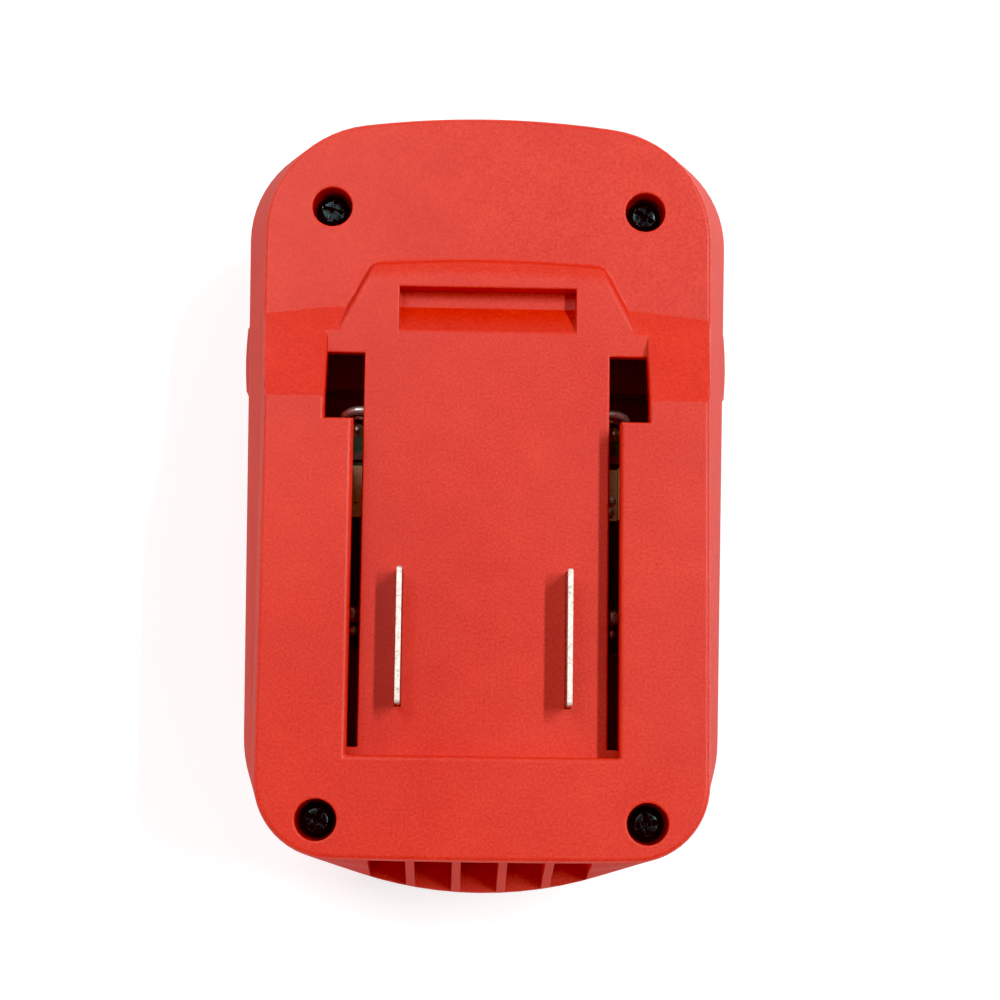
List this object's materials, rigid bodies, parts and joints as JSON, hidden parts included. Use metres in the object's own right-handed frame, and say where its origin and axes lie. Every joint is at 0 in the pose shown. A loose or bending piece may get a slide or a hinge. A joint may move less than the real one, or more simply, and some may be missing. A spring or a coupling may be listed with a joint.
{
  "type": "tool battery adapter",
  "caption": "Slide-on battery adapter: a two-part red case with a battery rail channel and blades on one face and a tool rail with spring contacts and sprung side release buttons on the other.",
  "frame": {"origin": "middle of the tool-side rail face, under the centre of the part's box", "axes": "+Z out of the battery-side face, +Y towards the latch pocket end where the battery slides on, +X to the right seen from the battery side"},
  "size_m": [0.0798, 0.1254, 0.044],
  "materials": {
    "red_case": "fine-grained matt red moulding",
    "red_button": "satin red moulding",
    "black_plastic": "matt black moulding",
    "black_screw": "black zinc",
    "nickel": "sheared nickel plate",
    "board": "green solder mask",
    "capacitor_sleeve": "dark sleeve",
    "ceramic": "ceramic chips",
    "copper": "bare copper strip",
    "tinned_wire": "tinned wire",
    "solder": "solder",
    "plain_steel": "plain steel",
    "brass_contact": "spring brass",
    "red_insulation": "soft insulation",
    "black_insulation": "soft insulation",
    "grey_insulation": "soft insulation",
    "spring_steel": "spring wire"
  },
  "bodies": {
    "case": {"battery_side_shell": "red_case", "tool_side_shell": "red_case", "case_screws": "black_screw", "positive_blade": "nickel", "negative_blade": "nickel", "blade_holder": "black_plastic", "circuit_board": "board", "power_transistors": "black_plastic", "controller_chip": "black_plastic", "filter_capacitor": "capacitor_sleeve", "chip_components": "ceramic", "positive_copper_strip": "copper", "negative_copper_strip": "copper", "wire_links": "tinned_wire", "solder_joints": "solder", "board_screws": "plain_steel", "contact_block": "black_plastic", "positive_contact": "brass_contact", "negative_contact": "brass_contact", "signal_contacts": "brass_contact", "positive_lead": "red_insulation", "negative_lead": "black_insulation", "signal_wires": "grey_insulation", "right_button_spring": "spring_steel", "left_button_spring": "spring_steel"},
    "right_button": {"right_release_button": "red_button"},
    "left_button": {"left_release_button": "red_button"}
  },
  "joints": [
    {"name": "right_button_press", "type": "slide", "parent": "case", "child": "right_button", "axis": [-1, 0, 0], "range_m": [0, 0.003], "stiffness_N_per_m": 800, "springref_m": -0.004, "deforming": ["right_button_spring"]},
    {"name": "left_button_press", "type": "slide", "parent": "case", "child": "left_button", "axis": [1, 0, 0], "range_m": [0, 0.003], "stiffness_N_per_m": 800, "springref_m": -0.004, "deforming": ["left_button_spring"]}
  ]
}
